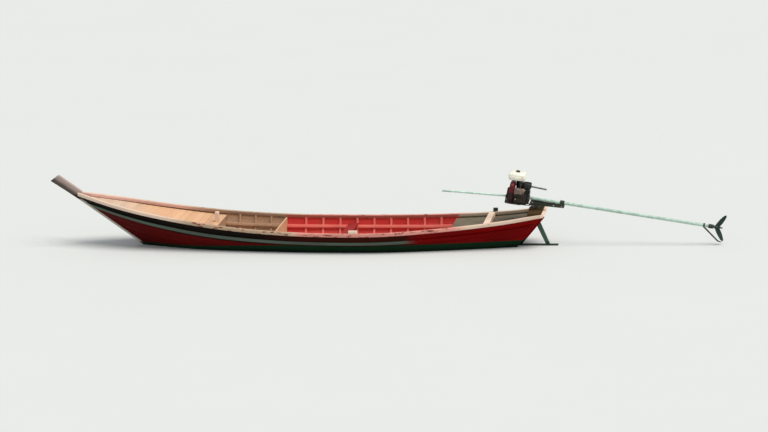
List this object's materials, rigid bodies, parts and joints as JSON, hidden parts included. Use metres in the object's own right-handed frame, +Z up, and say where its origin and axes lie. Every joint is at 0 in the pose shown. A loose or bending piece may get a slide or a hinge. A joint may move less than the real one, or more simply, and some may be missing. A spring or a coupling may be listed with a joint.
{
  "type": "longtail boat",
  "caption": "Wooden longtail fishing boat with raked stem, open hold, end decks and a swivelling, tilting engine with its long shaft and propeller.",
  "frame": {"origin": "on the boat's centreline amidships, at the height of the water's surface when the empty boat floats", "axes": "+X towards the bow, +Y to port, +Z up"},
  "size_m": [11.6693, 1.5498, 1.6266],
  "materials": {
    "hull_red_paint": "semi-gloss dark red paint over planks",
    "hull_black_paint": "worn black paint over planks",
    "bottom_green_paint": "dull dark green bottom paint",
    "stripe_paint": "worn grey-green paint",
    "rail_paint": "worn cream-pink paint",
    "peach_paint": "matt peach paint",
    "hold_red_paint": "red paint",
    "bare_wood": "bare worn wood",
    "grey_wood": "weathered grey wood",
    "dark_steel": "dark paint, satin",
    "galvanised_steel": "dull galvanised",
    "engine_red_paint": "gloss paint",
    "tank_white_paint": "gloss paint",
    "engine_alloy": "cast, matt",
    "black_steel": "heat-proof black paint",
    "black_plastic": "matt",
    "grip_rubber": "matt"
  },
  "bodies": {
    "hull": {"stern_planking_port": "hull_red_paint", "hold_bottom_planks_port": "bottom_green_paint", "hold_side_planks_port": "hull_red_paint", "well_bottom_planks_port": "bottom_green_paint", "well_side_planks_port": "hull_red_paint", "bow_planking_port": "hull_red_paint", "sheer_strake_port": "hull_black_paint", "rub_strake_port": "stripe_paint", "gunwale_rail_port": "rail_paint", "stringer_port": "hold_red_paint", "stern_planking_starboard": "hull_red_paint", "hold_bottom_planks_starboard": "bottom_green_paint", "hold_side_planks_starboard": "hull_red_paint", "well_bottom_planks_starboard": "bottom_green_paint", "well_side_planks_starboard": "hull_red_paint", "bow_planking_starboard": "hull_red_paint", "sheer_strake_starboard": "hull_black_paint", "rub_strake_starboard": "stripe_paint", "gunwale_rail_starboard": "rail_paint", "stringer_starboard": "hold_red_paint", "keel": "bottom_green_paint", "stem": "rail_paint", "stern_post": "hull_red_paint", "transom": "hull_red_paint", "stern_rail": "rail_paint", "fore_bulkhead": "peach_paint", "mid_bulkhead": "peach_paint", "aft_bulkhead": "grey_wood", "foredeck": "peach_paint", "stern_deck": "grey_wood", "hold_ribs": "hold_red_paint", "well_ribs": "bare_wood", "hold_floor": "bare_wood", "well_floor": "bare_wood", "thwart": "hold_red_paint", "mooring_post": "rail_paint", "thole_block": "rail_paint", "stern_bitt": "dark_steel", "stern_beam": "rail_paint", "squat_board": "grey_wood", "engine_beam": "bare_wood", "swivel_socket": "dark_steel"},
    "swivel": {"swivel_fork": "dark_steel"},
    "tail": {"engine_frame": "dark_steel", "crankcase": "engine_alloy", "cylinder": "engine_alloy", "fan_shroud": "engine_red_paint", "recoil_cover": "engine_red_paint", "fuel_tank": "tank_white_paint", "filler_cap": "black_plastic", "muffler": "black_steel", "exhaust_pipe": "black_steel", "air_cleaner": "black_plastic", "drive_housing": "black_steel", "tail_tube": "galvanised_steel", "prop_guard": "galvanised_steel", "handle_pole": "galvanised_steel", "handle_grip": "grip_rubber"},
    "propeller": {"propeller": "dark_steel"}
  },
  "joints": [
    {"name": "steer", "type": "hinge", "parent": "hull", "child": "swivel", "pos_m": [-3.56, 0, 0.65], "axis": [0, 0, 1], "range_deg": [-45, 45]},
    {"name": "tilt", "type": "hinge", "parent": "swivel", "child": "tail", "pos_m": [-3.56, 0, 0.728], "axis": [0, 1, 0], "range_deg": [-10, 15]},
    {"name": "propeller_spin", "type": "hinge", "parent": "tail", "child": "propeller", "pos_m": [-6.60175, 0, 0.30694], "axis": [0.9873, 0, 0.159], "continuous": true}
  ]
}
